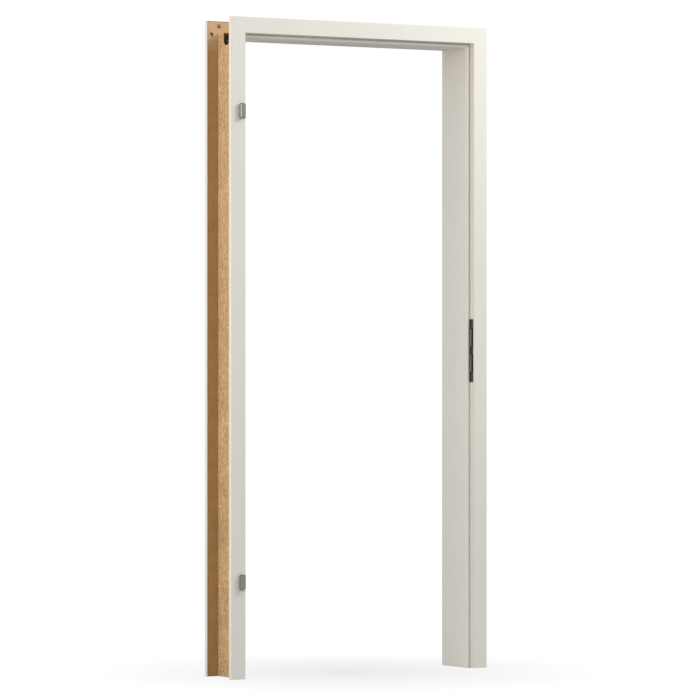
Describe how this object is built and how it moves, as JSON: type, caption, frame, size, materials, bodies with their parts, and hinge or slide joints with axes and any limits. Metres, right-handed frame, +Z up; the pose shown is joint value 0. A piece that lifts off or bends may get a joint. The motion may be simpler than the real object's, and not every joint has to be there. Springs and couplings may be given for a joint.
{
  "type": "door frame",
  "caption": "White timber door frame that wraps the end of a wall, with lining boards, mitred trims, seals, hinge parts, a strike plate and a sliding rear casing.",
  "frame": {"origin": "on the floor, under the middle of the frame's width and of its whole depth, hinge barrels included", "axes": "+X to the strike side, +Y from the front face into the wall, +Z up"},
  "size_m": [0.941, 0.1878, 2.033],
  "materials": {
    "lining_board": "chipboard with a satin white face inside and raw outside",
    "front_trim": "satin white paint on fibreboard, raw behind",
    "rear_trim": "fibreboard, raw brown towards the wall and satin white outside",
    "seal": "matt off-white rubber",
    "beech": "plain beech",
    "corner_steel": "dark phosphated steel",
    "screw_steel": "zinc-plated steel",
    "cam_metal": "die-cast, matt",
    "hinge_steel": "satin nickel on steel",
    "bush_plastic": "matt dark nylon",
    "strike_metal": "dark grey, satin",
    "box_plastic": "matt black"
  },
  "bodies": {
    "front_frame": {"jamb_board_left": "lining_board", "jamb_board_right": "lining_board", "head_board": "lining_board", "front_trim_left": "front_trim", "front_trim_right": "front_trim", "front_trim_head": "front_trim", "seal_left": "seal", "seal_right": "seal", "seal_head": "seal", "mitre_dowels_left": "beech", "mitre_dowels_right": "beech", "corner_angle_left": "corner_steel", "corner_angle_right": "corner_steel", "corner_angle_screws_left": "screw_steel", "corner_angle_screws_right": "screw_steel", "upper_hinge_screws": "screw_steel", "lower_hinge_screws": "screw_steel", "upper_hinge_frame_part": "hinge_steel", "lower_hinge_frame_part": "hinge_steel", "upper_hinge_holder": "hinge_steel", "lower_hinge_holder": "hinge_steel", "upper_hinge_bush": "bush_plastic", "lower_hinge_bush": "bush_plastic", "strike_plate": "strike_metal", "strike_plate_screws": "strike_metal", "latch_box": "box_plastic", "bolt_box": "box_plastic"},
    "rear_casing": {"rear_trim_left": "rear_trim", "rear_trim_right": "rear_trim", "rear_trim_head": "rear_trim", "casing_tongue_left": "rear_trim", "casing_tongue_right": "rear_trim", "casing_tongue_head": "rear_trim", "casing_dowel_left": "beech", "casing_dowel_right": "beech", "casing_tie_bolt_left": "screw_steel", "casing_tie_bolt_right": "screw_steel", "casing_cams_left": "cam_metal", "casing_cams_right": "cam_metal"}
  },
  "joints": [
    {"name": "rear_casing_slide", "type": "slide", "parent": "front_frame", "child": "rear_casing", "axis": [0, 1, 0], "range_m": [0, 0.02]}
  ]
}
